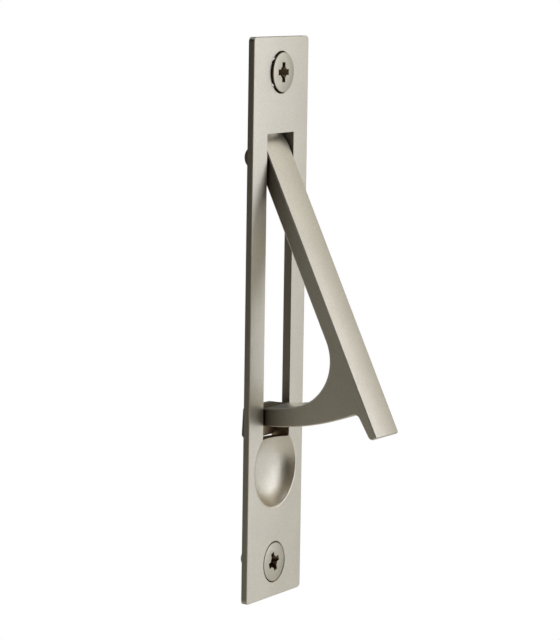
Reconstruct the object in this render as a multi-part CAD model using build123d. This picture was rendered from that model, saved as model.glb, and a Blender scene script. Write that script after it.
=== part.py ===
"""Edge pull for a sliding door: a faceplate with a finger dish, and a bar that swings out of its slot.

Millimetres. The origin is the centre of the plate's back face, midway between its two screws.
X runs across the plate, +Y runs into the door and +Z is up. The bar is drawn shut, level with the
plate's front, and then swung out to the angle at which its stop pin meets the plate.
"""

import os
from math import acos, asin, cos, degrees, radians, sin, sqrt, tan

from build123d import *

# Faceplate
plate_width = 19.05
plate_height = 101.6
plate_thickness = 1.59
plate_corner_radius = 0.8
plate_edge_round = 0.18
plate_back_bevel_depth = 0.43
plate_back_bevel_width = 0.75

# Slot that the bar swings out of, with its ends measured from the plate's ends
slot_width = 9.25
slot_top_inset = 17.15
slot_bottom_inset = 29.0

# Round finger dish, with its centre measured down from the slot's lower end
dish_radius = 7.15
dish_depth = 3.3
dish_drop = 5.3
dish_rim_round = 0.6
dish_root_round = 0.8

# Screws and their countersinks
screw_end_inset = 6.35
countersink_diameter = 7.7
countersink_angle = 82.0
screw_head_diameter = 7.1
screw_head_land = 0.3
screw_shank_diameter = 3.5
screw_length = 6.35
screw_end_chamfer = 0.5
recess_span = 3.6
recess_wing_width = 1.05
recess_depth = 1.7
recess_bottom_span = 1.5
upper_screw_backed_out = 0.5
upper_screw_turn = 0.0
lower_screw_backed_out = 0.03
lower_screw_turn = -21.0

# Pivot of the bar, measured behind the plate's back and down from the slot's upper end
pivot_setback = 1.01
pivot_drop = 4.35
pivot_pin_diameter = 1.4
pivot_pin_chamfer = 0.2
pivot_pin_inset = 0.3
running_clearance = 0.04
pin_seat_clearance = 0.01
lug_thickness = 1.2
lug_height = 2.05
lug_foot = 2.6
lug_top_overlap = 0.8
lug_side_round = 1.1
lug_end_round = 1.2
washer_diameter = 4.2
washer_play = 0.05

# Guides on the plate's back that steady the tail beside the slot's lower end
guide_height = 2.1
guide_rise = 3.4
guide_foot = 0.8
guide_end_round = 0.5

# Swinging bar, drawn shut, with depths measured from the plate's front face
bar_width = 8.4
bar_thickness = 2.65
bar_edge_break = 0.2
swing_angle = 25.15
crown_start_rise = 0.85
crown_radius = 6.5
crown_clearance = 0.45
crown_tip_round = 0.35
eye_radius = 2.1
eye_neck_round = 2.0
finger_round = 8.75
arm_root_thickness = 4.2
arm_tail_thickness = 3.1
lip_overlap = 3.4
lip_end_thickness = 1.45
lip_root_thickness = 1.95
lip_root_round = 0.9
lip_front_round = 0.4
lip_back_round = 0.9

# Stop pin across the arm's tail, and the toe below it that closes the slot
stop_pin_diameter = 1.6
stop_pin_length = 11.6
stop_pin_chamfer = 0.2
stop_clearance = 0.1
toe_setback = 1.2
tail_wall = 1.4
toe_corner_round = 0.8
toe_front_round = 0.3
toe_clearance = 0.2
tail_height = 5.9

# Places that follow from the sizes above
front_y = -plate_thickness
screw_height = plate_height / 2 - screw_end_inset
slot_top = plate_height / 2 - slot_top_inset
slot_bottom = slot_bottom_inset - plate_height / 2
slot_height = slot_top - slot_bottom
slot_side = slot_width / 2
lug_outer_width = slot_width + 2 * lug_thickness
pivot_pin_length = lug_outer_width - 2 * pivot_pin_inset
pivot_y = pivot_setback
pivot_height = slot_top - pivot_drop
lug_top = slot_top + lug_top_overlap
lug_bottom = pivot_height - lug_foot
guide_top = slot_bottom + guide_rise
guide_bottom = slot_bottom - guide_foot
stop_pin_radius = stop_pin_diameter / 2
toe_bottom_radius = pivot_height - slot_bottom - toe_clearance
arm_inner_radius = toe_bottom_radius - tail_height
stop_pin_orbit = arm_inner_radius + arm_tail_thickness / 2
stop_pin_y = stop_pin_radius + stop_clearance
stop_angle = swing_angle + degrees(asin((stop_pin_y - pivot_y) / stop_pin_orbit))
toe_front_angle = swing_angle + degrees(asin((toe_setback - pivot_y) / toe_bottom_radius))
tail_angle = stop_angle + degrees((stop_pin_radius + tail_wall) / stop_pin_orbit)


def around_pivot(radius, angle):
    """A point of the bar's profile by its distance from the pivot and its angle behind straight down."""
    return Vector(pivot_y + radius * sin(radians(angle)), pivot_height - radius * cos(radians(angle)))


def cylinder_along_x(radius, length, y, z):
    return Pos(0, y, z) * Rot(0, 90, 0) * Cylinder(radius, length)


def along_y(shape, z):
    """Stands a shape that was turned about Z on the screw axis at height z, pointing into the door."""
    return Pos(0, 0, z) * Rot(-90, 0, 0) * shape


def make_faceplate():
    plate = Pos(0, front_y / 2, 0) * Box(plate_width, plate_thickness, plate_height)
    plate = fillet(plate.edges().filter_by(Axis.Y), plate_corner_radius)
    back_face = plate.faces().sort_by(Axis.Y)[-1]
    plate = chamfer(back_face.edges(), plate_back_bevel_width, plate_back_bevel_depth, reference=back_face)

    # The dish is pressed out of the sheet: a ball's cap in front, and a second one behind, a thickness apart
    ball_radius = (dish_radius**2 + dish_depth**2) / (2 * dish_depth)
    ball_center = Pos(0, front_y + dish_depth - ball_radius, slot_bottom - dish_drop)
    bulge = ball_center * Sphere(ball_radius + plate_thickness)
    bulge = split(bulge, Plane.XZ, keep=Keep.BOTTOM)
    plate = plate + bulge
    root = plate.edges().filter_by(GeomType.CIRCLE).sort_by(SortBy.RADIUS)[-1]
    plate = fillet(root, dish_root_round)
    plate = plate - ball_center * Sphere(ball_radius)
    front_circles = plate.edges().filter_by(GeomType.CIRCLE).group_by(Axis.Y)[0]
    plate = fillet(front_circles.sort_by(SortBy.RADIUS)[-1], dish_rim_round)

    front_face = plate.faces().sort_by(Axis.Y)[0]
    plate = fillet(front_face.outer_wire().edges(), plate_edge_round)

    # The slot's cutter reaches past the plate's front and the dish's back
    slot_reach = 2 * (plate_thickness + dish_depth)
    slot_middle = slot_bottom + slot_height / 2
    plate = plate - Pos(0, 0, slot_middle) * Box(slot_width, 2 * slot_reach, slot_height)

    for side in (-1, 1):
        plate = plate + make_lug(side, lug_bottom, lug_top, lug_height, lug_end_round)
        plate = plate + make_lug(side, guide_bottom, guide_top, guide_height, guide_end_round)
        plate = plate - along_y(make_countersink(), side * screw_height)
    pin_bore = pivot_pin_diameter / 2 + pin_seat_clearance
    return plate - cylinder_along_x(pin_bore, lug_outer_width, pivot_y, pivot_height)


def make_lug(side, bottom, top, height, end_round):
    """One lug on the plate's back, level with the slot's wall inside and rounded outside."""
    place = Pos(side * (slot_side + lug_thickness / 2), height / 2, (top + bottom) / 2)
    lug = place * Box(lug_thickness, height, top - bottom)
    back_face = lug.faces().sort_by(Axis.Y)[-1]
    lug = fillet(back_face.edges().filter_by(Axis.X), end_round)
    outer_edge = lug.edges().filter_by(Axis.Z).sort_by(Axis.Y)[-2:].sort_by(Axis.X)
    return fillet(outer_edge[-1 if side > 0 else 0], lug_side_round)


def make_countersink():
    drop = plate_thickness * tan(radians(countersink_angle / 2))
    back_radius = countersink_diameter / 2 - drop
    return Pos(0, 0, front_y / 2) * Cone(countersink_diameter / 2, back_radius, plate_thickness)


def make_screw():
    """A flat-head machine screw about Z, with its head's top at zero and its end upward."""
    head_radius = screw_head_diameter / 2
    shank_radius = screw_shank_diameter / 2
    head_height = screw_head_land + (head_radius - shank_radius) / tan(radians(countersink_angle / 2))
    outline = Polyline(
        (0, 0),
        (head_radius, 0),
        (head_radius, screw_head_land),
        (shank_radius, head_height),
        (shank_radius, screw_length - screw_end_chamfer),
        (shank_radius - screw_end_chamfer, screw_length),
        (0, screw_length),
        close=True,
    )
    screw = revolve(Plane.XZ * make_face(outline), Axis.Z)
    for turn in (0, 90):
        screw = screw - Rot(0, 0, turn) * make_recess_wing()
    return screw


def make_recess_wing():
    """One wing of the cross recess: a blade that narrows towards its bottom."""
    blade = Polyline(
        (-recess_span / 2, 0),
        (recess_span / 2, 0),
        (recess_bottom_span / 2, recess_depth),
        (-recess_bottom_span / 2, recess_depth),
        close=True,
    )
    return extrude(Plane.XZ * make_face(blade), recess_wing_width / 2, both=True)


def place_screw(side, backed_out, turn):
    """Sets a screw in its countersink, turned back from its seat by the given distance."""
    sunk = (countersink_diameter - screw_head_diameter) / 2 / tan(radians(countersink_angle / 2))
    head_y = front_y + sunk - screw_head_land - backed_out
    return Pos(0, head_y, 0) * along_y(Rot(0, 0, turn) * make_screw(), side * screw_height)


def bar_profile():
    """The bar's side view when it is shut, with the plate's depth across and its height up."""
    back_y = front_y + bar_thickness
    eye = Vector(pivot_y, pivot_height)

    # Front of the bar, and the crown that curves back above it
    lip_end_height = slot_bottom - lip_overlap
    crown_start_height = pivot_height + crown_start_rise
    crown_height = slot_top - crown_clearance
    lip_front = Vector(front_y, lip_end_height)
    crown_start = Vector(front_y, crown_start_height)
    crown_turn = asin((crown_height - crown_start_height) / crown_radius)
    crown_tip = Vector(front_y + crown_radius * (1 - cos(crown_turn)), crown_height)
    crown_middle = Vector(
        front_y + crown_radius * (1 - cos(crown_turn / 2)),
        crown_start_height + crown_radius * sin(crown_turn / 2),
    )

    # The top slopes down to the eye, which it meets without a corner
    reach = crown_tip - eye
    tip_angle = Vector(1, 0).get_signed_angle(reach, Vector(0, 0, 1))
    top_angle = tip_angle - degrees(acos(eye_radius / reach.length))
    eye_top = eye + Vector(eye_radius, 0).rotate(Axis.Z, top_angle)
    eye_back = eye + Vector(eye_radius, 0)
    eye_bottom = Vector(back_y, pivot_height - sqrt(eye_radius**2 - (back_y - pivot_y) ** 2))

    # The finger opening's round joins the bar's back to the arm's upper edge, which is centred on the pivot
    finger_y = back_y + finger_round
    finger_drop = sqrt((arm_inner_radius - finger_round) ** 2 - (finger_y - pivot_y) ** 2)
    finger_center = Vector(finger_y, pivot_height - finger_drop)
    finger_start = Vector(back_y, finger_center.Y)
    outward = (finger_center - eye).normalized()
    finger_end = eye + outward * arm_inner_radius
    finger_middle = finger_center + (outward + Vector(-1, 0)).normalized() * finger_round
    finger_angle = degrees(asin(outward.X))

    # Tail, toe and the arm's lower edge
    arm_tail_radius = arm_inner_radius + arm_tail_thickness
    arm_root_radius = arm_inner_radius + arm_root_thickness
    root_y = front_y + lip_root_thickness
    root_angle = degrees(asin((root_y - pivot_y) / arm_root_radius))

    arm_root = around_pivot(arm_root_radius, root_angle)
    arm_middle = around_pivot((arm_root_radius + arm_tail_radius) / 2, (root_angle + toe_front_angle) / 2)
    arm_tail = around_pivot(arm_tail_radius, toe_front_angle)
    toe_front = around_pivot(toe_bottom_radius, toe_front_angle)
    toe_middle = around_pivot(toe_bottom_radius, (toe_front_angle + tail_angle) / 2)
    toe_back = around_pivot(toe_bottom_radius, tail_angle)
    tail_top = around_pivot(arm_inner_radius, tail_angle)
    lip_back = Vector(front_y + lip_end_thickness, lip_end_height)

    outline = [
        Line(lip_front, crown_start),
        ThreePointArc(crown_start, crown_middle, crown_tip),
        Line(crown_tip, eye_top),
        ThreePointArc(eye_top, eye_back, eye_bottom),
        Line(eye_bottom, finger_start),
        ThreePointArc(finger_start, finger_middle, finger_end),
        ThreePointArc(finger_end, around_pivot(arm_inner_radius, (finger_angle + tail_angle) / 2), tail_top),
        Line(tail_top, toe_back),
        ThreePointArc(toe_back, toe_middle, toe_front),
        Line(toe_front, arm_tail),
        ThreePointArc(arm_tail, arm_middle, arm_root),
        Line(arm_root, lip_back),
        Line(lip_back, lip_front),
    ]
    profile = make_face(outline)
    rounds = (
        (crown_tip, crown_tip_round),
        (eye_bottom, eye_neck_round),
        (tail_top, toe_corner_round),
        (toe_back, toe_corner_round),
        (toe_front, toe_front_round),
        (arm_tail, toe_corner_round),
        (arm_root, lip_root_round),
        (lip_back, lip_back_round),
        (lip_front, lip_front_round),
    )
    for corner, radius in rounds:
        profile = fillet(profile.vertices().sort_by_distance(corner)[0], radius)
    return profile


def make_bar():
    bar = extrude(Plane.YZ * bar_profile(), bar_width / 2, both=True)
    side_faces = bar.faces().filter_by(Axis.X)
    bar = chamfer(side_faces.edges(), bar_edge_break)
    pivot_bore = pivot_pin_diameter / 2 + running_clearance
    bar = bar - cylinder_along_x(pivot_bore, plate_width, pivot_y, pivot_height)
    stop_place = around_pivot(stop_pin_orbit, stop_angle)
    return bar - cylinder_along_x(stop_pin_radius, plate_width, stop_place.X, stop_place.Y)


def make_stop_pin():
    stop_place = around_pivot(stop_pin_orbit, stop_angle)
    pin = cylinder_along_x(stop_pin_radius, stop_pin_length, stop_place.X, stop_place.Y)
    return chamfer(pin.edges().filter_by(GeomType.CIRCLE), stop_pin_chamfer)


def swing_out(shape):
    """Turns a piece of the bar about the pivot, from shut to where the stop pin meets the plate."""
    return shape.rotate(Axis((0, pivot_y, pivot_height), (1, 0, 0)), -swing_angle)


def make_pivot_pin():
    """A plain pin through both lugs, a little short of their outer faces."""
    pin = cylinder_along_x(pivot_pin_diameter / 2, pivot_pin_length, pivot_y, pivot_height)
    return chamfer(pin.edges().filter_by(GeomType.CIRCLE), pivot_pin_chamfer)


def make_washer(side):
    thickness = (slot_width - bar_width) / 2 - washer_play
    washer = Cylinder(washer_diameter / 2, thickness)
    washer = washer - Cylinder(pivot_pin_diameter / 2 + running_clearance, 2 * thickness)
    return Pos(side * (slot_side - thickness / 2), pivot_y, pivot_height) * Rot(0, 90, 0) * washer


pieces = {
    "faceplate": make_faceplate(),
    "pull_lever": swing_out(make_bar()),
    "stop_pin": swing_out(make_stop_pin()),
    "pivot_pin": make_pivot_pin(),
    "left_washer": make_washer(-1),
    "right_washer": make_washer(1),
    "upper_screw": place_screw(1, upper_screw_backed_out, upper_screw_turn),
    "lower_screw": place_screw(-1, lower_screw_backed_out, lower_screw_turn),
}

os.makedirs("parts", exist_ok=True)
for name, piece in pieces.items():
    export_step(piece, f"parts/{name}.step")
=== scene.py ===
import math

import bmesh
import bpy
from mathutils import Matrix, Vector


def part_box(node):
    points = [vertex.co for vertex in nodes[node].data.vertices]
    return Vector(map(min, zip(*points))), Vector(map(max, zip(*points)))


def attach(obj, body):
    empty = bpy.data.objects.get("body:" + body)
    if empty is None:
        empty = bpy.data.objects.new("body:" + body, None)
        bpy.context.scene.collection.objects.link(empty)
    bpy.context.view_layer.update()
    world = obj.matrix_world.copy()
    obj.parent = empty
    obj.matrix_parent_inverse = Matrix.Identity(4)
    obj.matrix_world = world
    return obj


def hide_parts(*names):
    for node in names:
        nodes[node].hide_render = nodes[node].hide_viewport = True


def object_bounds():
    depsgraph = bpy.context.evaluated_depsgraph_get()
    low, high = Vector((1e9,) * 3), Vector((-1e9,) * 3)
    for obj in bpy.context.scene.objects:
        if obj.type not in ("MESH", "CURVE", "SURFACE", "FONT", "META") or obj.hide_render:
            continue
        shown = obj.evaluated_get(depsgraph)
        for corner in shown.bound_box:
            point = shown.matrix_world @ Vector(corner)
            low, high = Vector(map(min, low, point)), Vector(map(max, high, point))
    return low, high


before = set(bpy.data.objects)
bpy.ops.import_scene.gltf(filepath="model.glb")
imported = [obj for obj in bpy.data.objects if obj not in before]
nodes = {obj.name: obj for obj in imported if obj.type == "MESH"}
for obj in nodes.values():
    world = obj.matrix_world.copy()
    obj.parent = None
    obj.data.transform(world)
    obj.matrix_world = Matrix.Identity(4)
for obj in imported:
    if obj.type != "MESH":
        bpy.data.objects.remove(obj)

cad_low, cad_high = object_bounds()
MM = 0.001

# Camera: a long lens from the left front, fitted to the photograph
VIEW_AZIMUTH = -59.6
VIEW_ELEVATION = 7.27
VIEW_ROLL = 0.886
VIEW_DISTANCE = 0.5124
VIEW_TARGET = Vector((0.656, -1.652, -0.13)) * MM
IMAGE_HEIGHT = 640
FOCAL_PIXELS = 2841.3
SENSOR = 36.0
CLIP_START = 0.01
CLIP_END = 20.0

# Floor, which lies well below the part, and the world's light
FLOOR_DROP = 0.15
FLOOR_RADIUS = 0.5
FLOOR_SEGMENTS = 96
FLOOR_TONE = (0.9, 0.9, 0.9)
FLOOR_ROUGHNESS = 0.9
FLOOR_GLOW = (0.24, 0.22, 0.17)
WORLD_LIGHT = 0.5

# Dark surround, and the sheets of soft light inside it. Each sheet has a name, azimuths from +X towards +Y
# and elevations in degrees, and a glow.
SURROUND_RADIUS = 1.3
SURROUND_ELEVATIONS = (-35, 60)
SURROUND_TONE = (0.01, 0.009, 0.007)
CARD_RADIUS = 1.2
CARD_STEP = 5
CARDS = (
    ("key_high", (-68, -34), (10, 24), (1.65, 1.65, 1.65)),
    ("key", (-68, -34), (-10, 10), (1.40, 1.40, 1.40)),
    ("left", (-80, -68), (-35, 24), (1.10, 1.08, 1.03)),
    ("low", (-68, -34), (-35, -10), (0.76, 0.75, 0.74)),
    ("right_high", (-34, -4), (5, 24), (0.52, 0.49, 0.41)),
    ("right_low", (-34, -4), (-35, 5), (0.42, 0.41, 0.36)),
    ("top", (-80, -34), (24, 45), (0.66, 0.61, 0.52)),
    ("top_right", (-34, 18), (24, 45), (0.80, 0.76, 0.65)),
    ("crown", (-4, 18), (12, 24), (0.95, 0.90, 0.76)),
    ("back", (100, 180), (-35, 0), (0.162, 0.150, 0.120)),
    ("behind", (55, 100), (-35, 60), (0.55, 0.54, 0.52)),
    ("far_left", (-160, -132), (-35, 10), (0.26, 0.25, 0.22)),
    ("far_left_high", (-160, -132), (10, 60), (0.26, 0.25, 0.22)),
)

# Screws, with the thread that the solids leave out
HEAD_RADIUS = 3.55 * MM
HEAD_LAND = 0.3 * MM
HEAD_EDGE_ROUND = 0.05 * MM
HEAD_EDGE_TURNS = (0, 30, 60, 90)
HEAD_HALF_ANGLE = 41
SHANK_RADIUS = 1.75 * MM
END_CHAMFER = 0.5 * MM
THREAD_PITCH = 25.4 / 32 * MM
THREAD_DEPTH = 0.42 * MM
THREAD_CREST = 0.15
THREAD_FLANK = 0.7
RINGS_A_PITCH = 12
SCREW_SEGMENTS = 72
SHARP_ANGLE = 35
LOWER_SCREW_TURN = -21

# Cross recess: two tapered wings, and a cone that flares where they meet
RECESS_SPAN = 3.6 * MM
RECESS_WING_WIDTH = 1.05 * MM
RECESS_DEPTH = 1.7 * MM
RECESS_BOTTOM_SPAN = 1.5 * MM
RECESS_BOTTOM_WIDTH = 0.7 * MM
RECESS_FLARE_RADIUS = 1.15 * MM
FLARE_DEPTH = 0.9 * RECESS_DEPTH
FLARE_TIP_RADIUS = 0.1 * RECESS_FLARE_RADIUS
CUTTER_RISE = 0.2 * MM

# Places on the plate and the lever where shade is painted, and the finger dish
COUNTERSINK_RADIUS = 3.85 * MM
SLOT_SIDE = 4.625 * MM
SLOT_BOTTOM = -21.8 * MM
TOE_TOP = -18.4 * MM
ARM_TOP = -14.0 * MM
DISH_CENTRE = -27.1 * MM
DISH_RADIUS = 7.15 * MM

# Shading of the faces: slight crowns, and a dish with a flatter floor
LEVER_CROWN_RADIUS = 29 * MM
PLATE_CROWN_RADIUS = 270 * MM
DISH_FLATTENING = 0.053
DISH_STEEPENING = 0.000775
FRONT_BLEND = (-0.1, 0.1)

# Finishes, each with two tones and a range of roughness
NICKEL_LIGHT = (0.81, 0.785, 0.72)
NICKEL_DARK = (0.71, 0.685, 0.63)
NICKEL_ROUGHNESS = (0.39, 0.45)
SCREW_LIGHT = (0.64, 0.62, 0.55)
SCREW_DARK = (0.565, 0.545, 0.475)
SCREW_ROUGHNESS = (0.36, 0.44)
PIN_LIGHT = (0.56, 0.55, 0.53)
PIN_DARK = (0.48, 0.47, 0.45)
PIN_ROUGHNESS = (0.22, 0.30)
PIN_STRETCH = (1, 8, 8)
WASHER_LIGHT = (0.30, 0.26, 0.19)
WASHER_DARK = (0.22, 0.19, 0.14)
WASHER_ROUGHNESS = (0.35, 0.5)

# Unevenness of the finishes: each noise has a scale in cycles a metre and a level of detail
NOISE_SPAN = (0.3, 0.7)
CLOUD_NOISE = (140, 3.0)
CLOUD_SHARE = 0.4
SPECKLE_NOISE = (2600, 1.0)
SPECKLE_SHARE = 0.6
GLOSS_NOISE = (700, 3.0)
GRAIN_NOISE = (9000, 2.0)
GRAIN_HEIGHT = 0.002 * MM

# Painted shade: darker tones that stand in for shade on the plate, the lever and the screws, and how far
# they reach
# Painted shade in the countersinks, at the slot's lower end, on the lever's toe and on its arm in the slot
PAINTED_SHADE = (0.32, 0.25, 0.17)
SHADE_MARGIN = 0.1 * MM
SHADE_SOFTNESS = 0.05 * MM
# Painted shade on the lever's toe inside the slot
TOE_SHADE_DEPTHS = (-0.25 * MM, 1.6 * MM)
TOE_SHADE_SOFTNESS = 0.2 * MM
# Painted shade on the arm's upper faces inside the slot
ARM_SHADE_DEPTHS = (-1.6 * MM, 1.6 * MM)
ARM_SHADE_SOFTNESS = 0.3 * MM
ARM_SHADE_FADE = 1 * MM
ARM_SHADE_COVER = 0.8
UPWARD_BLEND = (0.3, 0.7)
# Painted shade on the lever's sides, darker nearer the plate
SIDE_SHADE = (0.10, 0.08, 0.055)
SIDE_SHADE_START = -10.5 * MM
SIDE_SHADE_END = -1.6 * MM
SIDE_SHADE_POWER = 1.7
SIDEWAYS_BLEND = (0.5, 0.8)
# Painted shade on the screws below the head's top
SCREW_SHADE = (0.20, 0.15, 0.10)
SCREW_SHADE_DEPTHS = (0.06 * MM, 2.3 * MM)
SCREW_SHADE_SOFTNESS = 0.03 * MM
# Painted shade on the plate's faces that look sideways, up or down
EDGE_FACE_SHADE = (0.42, 0.40, 0.355)
EDGE_BLEND = (0.15, 0.5)
# Painted warm shade on the dish's lower wall
DISH_WALL_SHADE = (0.52, 0.44, 0.31)
DISH_WALL_SHADE_COVER = 0.65
DISH_WALL_SHADE_REACH = (0.8 * DISH_RADIUS, 0.98 * DISH_RADIUS)
DISH_WALL_SHADE_SOFTNESS = 0.15 * DISH_RADIUS
DISH_WALL_SHADE_HEIGHTS = (DISH_CENTRE - 1 * MM, DISH_CENTRE + 3 * MM)


def join(tree, value, socket):
    """Feeds a socket from another node's output, or sets it to a number."""
    if isinstance(value, (int, float)):
        socket.default_value = value
    else:
        tree.links.new(value, socket)


def calculate(tree, operation, first, second=0.0):
    """Result of one arithmetic operation on one or two values."""
    node = tree.nodes.new("ShaderNodeMath")
    node.operation = operation
    join(tree, first, node.inputs[0])
    join(tree, second, node.inputs[1])
    return node.outputs[0]


def product(tree, first, *others):
    """All the values multiplied together."""
    for other in others:
        first = calculate(tree, "MULTIPLY", first, other)
    return first


def ramp(tree, value, start, end, low=0.0, high=1.0, smooth=False):
    """Maps a value from the range start to end on to the range low to high."""
    node = tree.nodes.new("ShaderNodeMapRange")
    node.interpolation_type = "SMOOTHSTEP" if smooth else "LINEAR"
    node.inputs["From Min"].default_value = start
    node.inputs["From Max"].default_value = end
    node.inputs["To Min"].default_value = low
    node.inputs["To Max"].default_value = high
    tree.links.new(value, node.inputs["Value"])
    return node.outputs["Result"]


def window(tree, value, limits, softness):
    """One between the two limits and zero outside them, with soft edges."""
    start, end = limits
    rise = ramp(tree, value, start - softness, start + softness, smooth=True)
    fall = ramp(tree, value, end - softness, end + softness, 1.0, 0.0, smooth=True)
    return product(tree, rise, fall)


def two_tones(tree, value, first, second):
    """A colour between two others, each one a colour or another node's output."""
    node = tree.nodes.new("ShaderNodeMix")
    node.data_type = "RGBA"
    join(tree, value, node.inputs[0])
    for tone, socket in ((first, node.inputs[6]), (second, node.inputs[7])):
        if isinstance(tone, tuple):
            socket.default_value = (*tone, 1)
        else:
            tree.links.new(tone, socket)
    return node.outputs[2]


def own_coordinates(tree, kind):
    """X, Y and Z of the object's own coordinates, or of the surface's direction where kind is Normal."""
    parted = tree.nodes.new("ShaderNodeSeparateXYZ")
    tree.links.new(tree.nodes.new("ShaderNodeTexCoord").outputs[kind], parted.inputs[0])
    return parted.outputs


def noise(tree, scale, detail, stretch=(1, 1, 1)):
    """Noise in the object's own coordinates."""
    mapping = tree.nodes.new("ShaderNodeMapping")
    mapping.inputs["Scale"].default_value = stretch
    texture = tree.nodes.new("ShaderNodeTexNoise")
    texture.inputs["Scale"].default_value = scale
    texture.inputs["Detail"].default_value = detail
    place = tree.nodes.new("ShaderNodeTexCoord").outputs["Object"]
    tree.links.new(place, mapping.inputs["Vector"])
    tree.links.new(mapping.outputs["Vector"], texture.inputs["Vector"])
    return texture.outputs["Fac"]


def off_axis(tree, first, second):
    """Distance from an axis, from the two coordinates across it."""
    squares = [calculate(tree, "POWER", value, 2) for value in (first, second)]
    return calculate(tree, "SQRT", calculate(tree, "ADD", *squares))


def on_front(tree):
    """One where the surface looks to the front, and zero where it looks to the back."""
    return ramp(tree, own_coordinates(tree, "Normal")["Y"], *FRONT_BLEND, 1.0, 0.0)


def dish_floor(tree, x, z):
    """Height that flattens the middle of the finger dish and steepens its wall."""
    across = calculate(tree, "DIVIDE", x, MM)
    along = calculate(tree, "DIVIDE", calculate(tree, "SUBTRACT", z, DISH_CENTRE), MM)
    reach = calculate(tree, "MINIMUM", off_axis(tree, across, along), DISH_RADIUS / MM)
    fall = product(tree, calculate(tree, "POWER", reach, 2), DISH_FLATTENING * MM)
    rise = product(tree, calculate(tree, "POWER", reach, 4), DISH_STEEPENING * MM)
    return product(tree, calculate(tree, "SUBTRACT", rise, fall), on_front(tree))


def metal(name, light, dark, roughness, stretch=(1, 1, 1), crown_radius=None, dished=False):
    """Plated metal with a clouded tone, uneven gloss, a fine satin grain and perhaps a slight crown."""
    made = bpy.data.materials.new(name)
    made.use_nodes = True
    tree = made.node_tree
    shader = tree.nodes["Principled BSDF"]
    shader.inputs["Metallic"].default_value = 1.0
    clouds = ramp(tree, noise(tree, *CLOUD_NOISE), *NOISE_SPAN, 0.0, CLOUD_SHARE)
    speckle = ramp(tree, noise(tree, *SPECKLE_NOISE), *NOISE_SPAN, 0.0, SPECKLE_SHARE)
    tone = two_tones(tree, calculate(tree, "ADD", clouds, speckle), light, dark)
    tree.links.new(tone, shader.inputs["Base Color"])
    gloss = ramp(tree, noise(tree, *GLOSS_NOISE, stretch), *NOISE_SPAN, *roughness)
    tree.links.new(gloss, shader.inputs["Roughness"])
    height = product(tree, noise(tree, *GRAIN_NOISE, stretch), GRAIN_HEIGHT)
    x, _, z = own_coordinates(tree, "Object")
    if crown_radius:
        drop = calculate(tree, "DIVIDE", calculate(tree, "POWER", x, 2), 2 * crown_radius)
        height = calculate(tree, "SUBTRACT", height, drop)
    if dished:
        height = calculate(tree, "ADD", height, dish_floor(tree, x, z))
    relief = tree.nodes.new("ShaderNodeBump")
    relief.inputs["Distance"].default_value = 1.0
    tree.links.new(height, relief.inputs["Height"])
    tree.links.new(relief.outputs["Normal"], shader.inputs["Normal"])
    return made, tree, shader, tone


def lever_finish():
    """The lever's nickel, with painted shade on the toe, on the arm in the slot and on the sides near the
    plate.
    """
    made, tree, shader, tone = metal(
        "lever_nickel", NICKEL_LIGHT, NICKEL_DARK, NICKEL_ROUGHNESS, crown_radius=LEVER_CROWN_RADIUS
    )
    _, y, z = own_coordinates(tree, "Object")
    normal = own_coordinates(tree, "Normal")

    # Painted shade on the toe below the slot, where it lies in the plate's shadow
    below = ramp(tree, z, TOE_TOP - TOE_SHADE_SOFTNESS, TOE_TOP + TOE_SHADE_SOFTNESS, 1.0, 0.0)
    toe_shade = product(tree, below, window(tree, y, TOE_SHADE_DEPTHS, TOE_SHADE_SOFTNESS))

    # Painted shade on the arm's upper faces inside the slot
    upward = ramp(tree, normal["Z"], *UPWARD_BLEND)
    in_slot = window(tree, y, ARM_SHADE_DEPTHS, ARM_SHADE_SOFTNESS)
    low_enough = ramp(tree, z, ARM_TOP, ARM_TOP + ARM_SHADE_FADE, ARM_SHADE_COVER, 0.0)
    arm_shade = product(tree, upward, in_slot, low_enough)

    # Painted shade on the lever's sides, darker nearer the plate
    sideways = ramp(tree, calculate(tree, "ABSOLUTE", normal["X"]), *SIDEWAYS_BLEND)
    near_plate = calculate(tree, "POWER", ramp(tree, y, SIDE_SHADE_START, SIDE_SHADE_END), SIDE_SHADE_POWER)
    tone = two_tones(tree, product(tree, sideways, near_plate), tone, SIDE_SHADE)

    # The toe's and the arm's painted shade, laid over the tone
    shade_cover = calculate(tree, "MAXIMUM", toe_shade, arm_shade)
    tree.links.new(two_tones(tree, shade_cover, tone, PAINTED_SHADE), shader.inputs["Base Color"])
    return made


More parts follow.
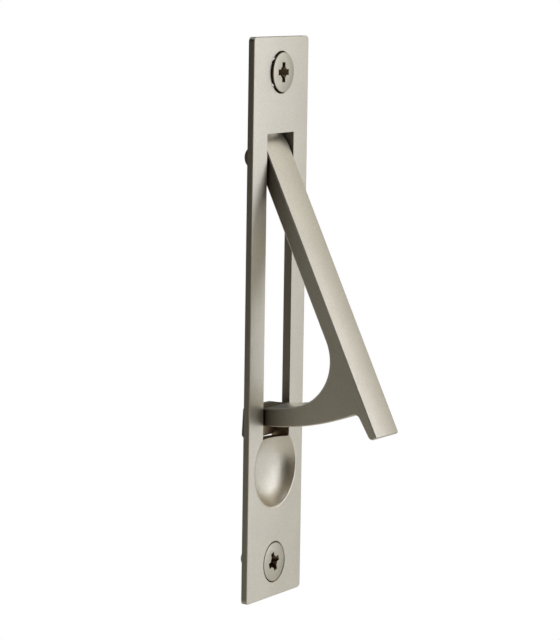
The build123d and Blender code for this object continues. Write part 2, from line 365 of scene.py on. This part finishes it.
def plate_finish():
    """The plate's nickel, with painted shade on its faces that look sideways, painted warm shade on the
    dish's lower wall, and painted shade in its countersinks and at the slot's lower end."""
    made, tree, shader, tone = metal(
        "plate_nickel",
        NICKEL_LIGHT,
        NICKEL_DARK,
        NICKEL_ROUGHNESS,
        crown_radius=PLATE_CROWN_RADIUS,
        dished=True,
    )
    x, y, z = own_coordinates(tree, "Object")
    plate_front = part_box("faceplate")[0].y
    shade_front = plate_front + SHADE_MARGIN
    screw_low, screw_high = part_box("upper_screw")
    screw_height = (screw_low.z + screw_high.z) / 2

    # Painted shade in the countersinks around the screw heads
    above_screw = calculate(tree, "SUBTRACT", calculate(tree, "ABSOLUTE", z), screw_height)
    from_screw = off_axis(tree, x, above_screw)
    near_screw = ramp(tree, from_screw, COUNTERSINK_RADIUS, COUNTERSINK_RADIUS + SHADE_MARGIN, 1.0, 0.0)
    sunk = window(tree, y, (shade_front, -SHADE_MARGIN), SHADE_SOFTNESS)
    sunk_shade = product(tree, near_screw, sunk)

    # Painted shade inside the slot's lower end, below the toe's top
    from_middle = calculate(tree, "ABSOLUTE", x)
    slot_wall = ramp(tree, from_middle, SLOT_SIDE + SHADE_SOFTNESS, SLOT_SIDE + SHADE_MARGIN, 1.0, 0.0)
    slot_end = window(tree, z, (SLOT_BOTTOM - SHADE_SOFTNESS, TOE_TOP), SHADE_SOFTNESS)
    slot_depth = ramp(tree, y, shade_front, shade_front + SHADE_MARGIN)
    slot_shade = product(tree, slot_wall, slot_end, slot_depth)

    # Painted warm shade on the dish's lower wall, stronger towards its bottom
    from_dish = off_axis(tree, x, calculate(tree, "SUBTRACT", z, DISH_CENTRE))
    on_wall = window(tree, from_dish, DISH_WALL_SHADE_REACH, DISH_WALL_SHADE_SOFTNESS)
    lower_wall = ramp(tree, z, *DISH_WALL_SHADE_HEIGHTS, DISH_WALL_SHADE_COVER, 0.0, smooth=True)
    tone = two_tones(tree, product(tree, on_wall, lower_wall, on_front(tree)), tone, DISH_WALL_SHADE)

    # Painted shade on faces that look sideways, up or down, such as the plate's edges and the slot's walls
    across = calculate(tree, "ABSOLUTE", own_coordinates(tree, "Normal")["Y"])
    tone = two_tones(tree, ramp(tree, across, *EDGE_BLEND, 1.0, 0.0), tone, EDGE_FACE_SHADE)

    # The countersinks' and the slot's painted shade, laid over the tone
    shade_cover = calculate(tree, "MAXIMUM", sunk_shade, slot_shade)
    tree.links.new(two_tones(tree, shade_cover, tone, PAINTED_SHADE), shader.inputs["Base Color"])
    return made


def screw_finish():
    """The screws' nickel, with painted shade below the head's top, which lies at Z 0, as far as the thread.
    """
    made, tree, shader, tone = metal("screw_nickel", SCREW_LIGHT, SCREW_DARK, SCREW_ROUGHNESS)
    # Painted shade on the screw below the head's top, on its side and in its recess
    depth = own_coordinates(tree, "Object")["Z"]
    shade_cover = window(tree, depth, SCREW_SHADE_DEPTHS, SCREW_SHADE_SOFTNESS)
    tree.links.new(two_tones(tree, shade_cover, tone, SCREW_SHADE), shader.inputs["Base Color"])
    return made


steel_pin = metal("steel_pin", PIN_LIGHT, PIN_DARK, PIN_ROUGHNESS, stretch=PIN_STRETCH)[0]
friction_washer = metal("friction_washer", WASHER_LIGHT, WASHER_DARK, WASHER_ROUGHNESS)[0]
lever_nickel = lever_finish()
plate_nickel = plate_finish()
screw_nickel = screw_finish()

NODE_MATERIALS = {
    "faceplate": plate_nickel,
    "pull_lever": lever_nickel,
    "pivot_pin": steel_pin,
    "stop_pin": steel_pin,
    "left_washer": friction_washer,
    "right_washer": friction_washer,
    "upper_screw": screw_nickel,
    "lower_screw": screw_nickel,
}
for node_name, finish in NODE_MATERIALS.items():
    mesh = nodes[node_name].data
    mesh.materials.clear()
    mesh.materials.append(finish)


def mesh_object(name, bm, finish):
    """A new object in the scene from a mesh in the making."""
    mesh = bpy.data.meshes.new(name)
    bm.to_mesh(mesh)
    bm.free()
    mesh.materials.append(finish)
    made = bpy.data.objects.new(name, mesh)
    bpy.context.scene.collection.objects.link(made)
    return made


def skin(bm, rings):
    """Faces between rings of vertices that follow one another, with the two ends closed."""
    for near, far in zip(rings, rings[1:]):
        for i in range(len(near)):
            j = (i + 1) % len(near)
            bm.faces.new((near[i], near[j], far[j], far[i]))
    bm.faces.new(rings[0][::-1])
    bm.faces.new(rings[-1])
    bmesh.ops.recalc_face_normals(bm, faces=bm.faces)


def thread_valley(phase):
    """Depth of a thread between 0 on its crest and 1 at its root, over one pitch."""
    from_crest = abs(2 * phase - 1)
    return min(max((from_crest - THREAD_CREST) / THREAD_FLANK, 0.0), 1.0)


def turned_screw(length):
    """The screw without its recess, about Z, with its head's top at zero and its end upward."""
    head_height = HEAD_LAND + (HEAD_RADIUS - SHANK_RADIUS) / math.tan(math.radians(HEAD_HALF_ANGLE))
    end_start = length - END_CHAMFER
    stations = []
    for turn in HEAD_EDGE_TURNS:
        rounded = math.radians(turn)
        inward = HEAD_EDGE_ROUND * (1 - math.sin(rounded))
        stations.append((HEAD_EDGE_ROUND * (1 - math.cos(rounded)), HEAD_RADIUS - inward, 0.0))
    stations.append((HEAD_LAND, HEAD_RADIUS, 0.0))
    thread_step = THREAD_PITCH / RINGS_A_PITCH
    count = math.ceil((length - head_height) / thread_step)
    for i in range(count + 1):
        z = head_height + (length - head_height) * i / count
        cut = min((z - head_height) / THREAD_PITCH, 1.0)
        stations.append((z, SHANK_RADIUS - max(z - end_start, 0.0), cut))

    bm = bmesh.new()
    rings = []
    for z, radius, cut in stations:
        ring = []
        for step in range(SCREW_SEGMENTS):
            around = step / SCREW_SEGMENTS
            valley = cut * THREAD_DEPTH * thread_valley((z / THREAD_PITCH - around) % 1)
            reach = min(radius, SHANK_RADIUS - valley) if cut else radius
            angle = 2 * math.pi * around
            ring.append(bm.verts.new((reach * math.cos(angle), reach * math.sin(angle), z)))
        rings.append(ring)
    skin(bm, rings)
    return bm


def recess_wing(turn):
    """One tapered wing of a cross recess, which starts above the head."""
    spread = CUTTER_RISE / RECESS_DEPTH
    top_span = RECESS_SPAN + spread * (RECESS_SPAN - RECESS_BOTTOM_SPAN)
    top_width = RECESS_WING_WIDTH + spread * (RECESS_WING_WIDTH - RECESS_BOTTOM_WIDTH)
    ends = (
        (-CUTTER_RISE, top_span, top_width),
        (RECESS_DEPTH, RECESS_BOTTOM_SPAN, RECESS_BOTTOM_WIDTH),
    )
    bm = bmesh.new()
    rings = []
    for z, span, width in ends:
        corners = ((-1, -1), (1, -1), (1, 1), (-1, 1))
        rings.append([bm.verts.new((i * span / 2, j * width / 2, z)) for i, j in corners])
    skin(bm, rings)
    turned = Matrix.Rotation(math.radians(turn), 3, "Z")
    bmesh.ops.rotate(bm, verts=bm.verts, cent=(0, 0, 0), matrix=turned)
    return bm


def recess_flare():
    """The cone in the middle of a cross recess, which starts above the head."""
    slope = RECESS_FLARE_RADIUS / RECESS_DEPTH
    ends = (
        (-CUTTER_RISE, RECESS_FLARE_RADIUS + slope * CUTTER_RISE),
        (FLARE_DEPTH, FLARE_TIP_RADIUS),
    )
    bm = bmesh.new()
    rings = []
    for z, radius in ends:
        angles = [2 * math.pi * step / SCREW_SEGMENTS for step in range(SCREW_SEGMENTS)]
        rings.append([bm.verts.new((radius * math.cos(a), radius * math.sin(a), z)) for a in angles])
    skin(bm, rings)
    return bm


def add_screw(node_name, turn):
    """A threaded screw with a cross recess, in place of a CAD node's plain one."""
    low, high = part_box(node_name)
    made = mesh_object(node_name + "_threaded", turned_screw(high.y - low.y), screw_nickel)
    cutter_meshes = (recess_wing(0), recess_wing(90), recess_flare())
    cutters = [mesh_object("recess_cutter", bm, screw_nickel) for bm in cutter_meshes]
    for cutter in cutters:
        cut = made.modifiers.new("recess", "BOOLEAN")
        cut.operation = "DIFFERENCE"
        cut.solver = "EXACT"
        cut.object = cutter
    graph = bpy.context.evaluated_depsgraph_get()
    mesh = bpy.data.meshes.new_from_object(made.evaluated_get(graph))
    made.modifiers.clear()
    made.data = mesh
    for cutter in cutters:
        bpy.data.objects.remove(cutter)
    mesh.shade_smooth()
    mesh.set_sharp_from_angle(angle=math.radians(SHARP_ANGLE))
    head_place = Vector(((low.x + high.x) / 2, low.y, (low.z + high.z) / 2))
    into_door = Matrix.Rotation(math.radians(-90), 4, "X")
    turned = Matrix.Rotation(math.radians(turn), 4, "Z")
    made.matrix_world = Matrix.Translation(head_place) @ into_door @ turned
    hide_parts(node_name)
    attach(made, "plate")


add_screw("upper_screw", 0)
add_screw("lower_screw", LOWER_SCREW_TURN)

# Floor
floor_mesh = bmesh.new()
bmesh.ops.create_circle(floor_mesh, cap_ends=True, segments=FLOOR_SEGMENTS, radius=FLOOR_RADIUS)
bmesh.ops.translate(floor_mesh, verts=floor_mesh.verts, vec=(0, 0, cad_low.z - FLOOR_DROP))
floor_paint = bpy.data.materials.new("floor_paint")
floor_paint.use_nodes = True
floor_shader = floor_paint.node_tree.nodes["Principled BSDF"]
floor_shader.inputs["Base Color"].default_value = (*FLOOR_TONE, 1)
floor_shader.inputs["Roughness"].default_value = FLOOR_ROUGHNESS
floor_shader.inputs["Emission Color"].default_value = (*FLOOR_GLOW, 1)
floor_shader.inputs["Emission Strength"].default_value = 1.0
floor = mesh_object("floor", floor_mesh, floor_paint)


def steps(start, end):
    """Angles from start to end, a card's step or less apart."""
    count = math.ceil((end - start) / CARD_STEP)
    return [start + (end - start) * i / count for i in range(count + 1)]


def light_card(name, azimuths, elevations, radius, tone):
    """A curved sheet that glows and that the part reflects, out of the camera's sight."""
    glow_paint = bpy.data.materials.new(name + "_glow")
    glow_paint.use_nodes = True
    tree = glow_paint.node_tree
    tree.nodes.clear()
    glow = tree.nodes.new("ShaderNodeEmission")
    glow.inputs["Color"].default_value = (*tone, 1)
    output = tree.nodes.new("ShaderNodeOutputMaterial")
    tree.links.new(glow.outputs["Emission"], output.inputs["Surface"])
    bm = bmesh.new()
    columns = []
    for turn in steps(*azimuths):
        column = []
        for rise in steps(*elevations):
            level = radius * math.cos(math.radians(rise))
            x = level * math.cos(math.radians(turn))
            y = level * math.sin(math.radians(turn))
            column.append(bm.verts.new((x, y, radius * math.sin(math.radians(rise)))))
        columns.append(column)
    for near, far in zip(columns, columns[1:]):
        for i in range(len(near) - 1):
            bm.faces.new((near[i], far[i], far[i + 1], near[i + 1]))
    card = mesh_object(name, bm, glow_paint)
    card.visible_camera = False
    card.visible_shadow = False


light_card("dark_surround", (-180, 180), SURROUND_ELEVATIONS, SURROUND_RADIUS, SURROUND_TONE)
for card_name, azimuths, elevations, tone in CARDS:
    light_card(card_name, azimuths, elevations, CARD_RADIUS, tone)

# World: white behind the part and in its reflections, and a softer white as light
world = bpy.data.worlds.new("studio")
bpy.context.scene.world = world
world.use_nodes = True
world_tree = world.node_tree
sky = world_tree.nodes["Background"]
sky.inputs["Color"].default_value = (1, 1, 1, 1)
path = world_tree.nodes.new("ShaderNodeLightPath")
seen = path.outputs["Is Camera Ray"]
for other in ("Is Glossy Ray", "Is Transmission Ray"):
    seen = calculate(world_tree, "MAXIMUM", seen, path.outputs[other])
world_tree.links.new(ramp(world_tree, seen, 0.0, 1.0, WORLD_LIGHT, 1.0), sky.inputs["Strength"])

# Camera
azimuth = math.radians(VIEW_AZIMUTH)
elevation = math.radians(VIEW_ELEVATION)
roll = math.radians(VIEW_ROLL)
back = Vector((
    math.sin(azimuth) * math.cos(elevation),
    -math.cos(azimuth) * math.cos(elevation),
    math.sin(elevation),
))
level_right = Vector((math.cos(azimuth), math.sin(azimuth), 0))
level_up = back.cross(level_right)
right = math.cos(roll) * level_right + math.sin(roll) * level_up
up = back.cross(right)
facing_part = Matrix((right, up, back)).transposed().to_4x4()
lens = bpy.data.cameras.new("camera")
lens.sensor_width = SENSOR
lens.lens = SENSOR * FOCAL_PIXELS / IMAGE_HEIGHT
lens.clip_start = CLIP_START
lens.clip_end = CLIP_END
camera = bpy.data.objects.new("camera", lens)
camera.matrix_world = Matrix.Translation(VIEW_TARGET + back * VIEW_DISTANCE) @ facing_part
bpy.context.scene.collection.objects.link(camera)
bpy.context.scene.camera = camera
bpy.context.scene.view_settings.view_transform = "Standard"
